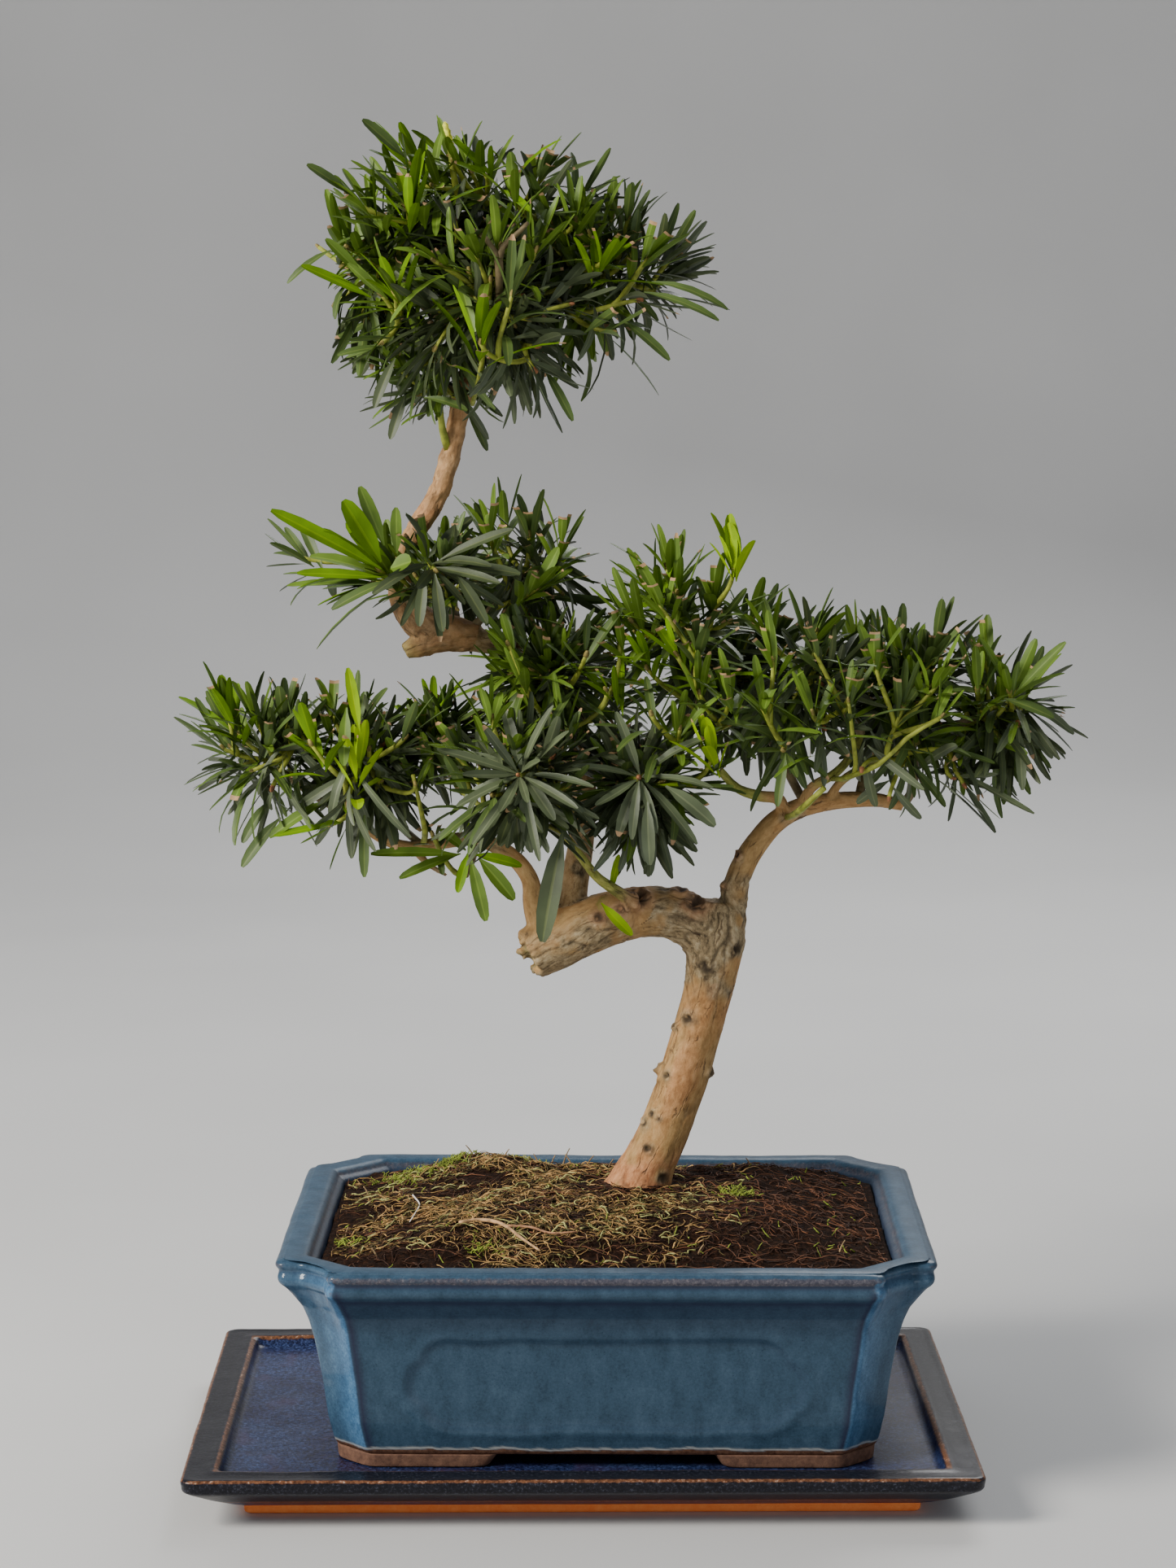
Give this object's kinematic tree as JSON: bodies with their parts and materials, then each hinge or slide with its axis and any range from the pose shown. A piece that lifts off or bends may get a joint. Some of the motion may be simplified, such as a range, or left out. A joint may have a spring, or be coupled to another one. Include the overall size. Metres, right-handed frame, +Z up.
{
  "type": "podocarpus bonsai",
  "caption": "Potted podocarpus bonsai with a leaning S-shaped trunk, open boughs and whorled strap leaves, in a glazed notched rectangular pot on a glazed drip tray.",
  "frame": {"origin": "middle of the flat underside of the drip tray's foot", "axes": "+Z up, +X along the pot's long side to the right seen from the front, the front of the pot and tree faces -Y"},
  "size_m": [0.3516, 0.209, 0.529],
  "materials": {
    "tray_glaze": "glossy mottled cobalt glaze",
    "pot_glaze": "glossy teal-blue glaze that thins to brown along its edges",
    "bare_clay": "matte unglazed terracotta",
    "soil": "matte damp potting soil under dry moss",
    "bark": "matte flaking bark",
    "green_bark": "matte smooth young bark",
    "leaves": "satin leathery leaves"
  },
  "bodies": {
    "root": {"drip_tray": "tray_glaze", "pot": "pot_glaze", "soil": "soil", "pot_foot_front_left": "bare_clay", "pot_foot_front_right": "bare_clay", "pot_foot_back_left": "bare_clay", "pot_foot_back_right": "bare_clay", "trunk_lower": "bark", "trunk_arm": "bark", "trunk_rise": "bark", "trunk_bend": "bark", "trunk_top": "bark", "bough_left": "bark", "bough_left_dead": "bark", "bough_front": "green_bark", "bough_right": "bark", "bough_right_inner": "bark", "bough_right_middle": "green_bark", "bough_right_outer": "green_bark", "foliage_top_peak": "leaves", "foliage_top_left": "leaves", "foliage_top_right": "leaves", "foliage_top_front": "leaves", "foliage_top_back": "leaves", "foliage_top_low": "leaves", "foliage_middle_left": "leaves", "foliage_middle_front": "leaves", "foliage_middle_right": "leaves", "foliage_middle_back": "leaves", "foliage_left_outer": "leaves", "foliage_left_inner": "leaves", "foliage_left_back": "leaves", "foliage_left_shoot": "leaves", "foliage_centre_front": "leaves", "foliage_centre_right": "leaves", "foliage_centre_left": "leaves", "foliage_centre_top": "leaves", "foliage_centre_back": "leaves", "foliage_right_inner": "leaves", "foliage_right_middle": "leaves", "foliage_right_outer": "leaves", "foliage_right_tip": "leaves", "foliage_right_back": "leaves", "foliage_right_far_back": "leaves"}
  },
  "joints": []
}
